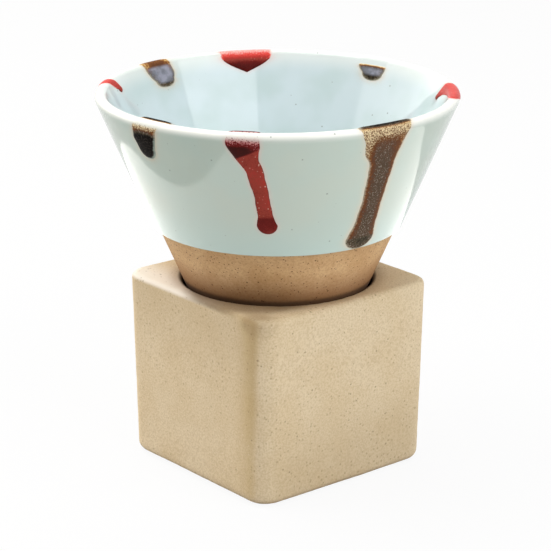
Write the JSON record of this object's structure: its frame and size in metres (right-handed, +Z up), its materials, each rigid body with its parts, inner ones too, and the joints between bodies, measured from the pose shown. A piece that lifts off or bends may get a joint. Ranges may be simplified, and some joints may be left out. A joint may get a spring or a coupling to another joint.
{
  "type": "coffee cup with cube stand",
  "caption": "Conical stoneware coffee cup, pale glaze with coloured runs over its lip, that stands in the round mouth of a hollow rounded cube and lifts straight out.",
  "frame": {"origin": "middle of the stand's underside, on the table", "axes": "+Z up along the cup's axis; the stand's sides face X and Y"},
  "size_m": [0.0956, 0.096, 0.1026],
  "materials": {
    "stand_clay": "bare beige stoneware, matte, fine sand and dark iron specks",
    "cup_clay": "bare tan stoneware, matte, speckled",
    "pale_glaze": "glossy pale blue-green glaze, thin and white on the lip",
    "red_glaze": "glossy red glaze, dark where it is thick",
    "brown_glaze": "brown-black glaze with a rust fringe"
  },
  "bodies": {
    "stand": {"cube_stand": "stand_clay"},
    "cup": {"cup_body": "cup_clay", "glaze_coat": "pale_glaze", "brown_run_left": "brown_glaze", "red_run_front_left": "red_glaze", "brown_run_front": "brown_glaze", "red_run_front_right": "red_glaze", "brown_run_right": "brown_glaze", "red_run_back_right": "red_glaze", "brown_run_back": "brown_glaze", "red_run_back_left": "red_glaze"}
  },
  "joints": [
    {"name": "cup_lift", "type": "slide", "parent": "stand", "child": "cup", "axis": [0, 0, 1], "range_m": [0, 0.06]}
  ]
}
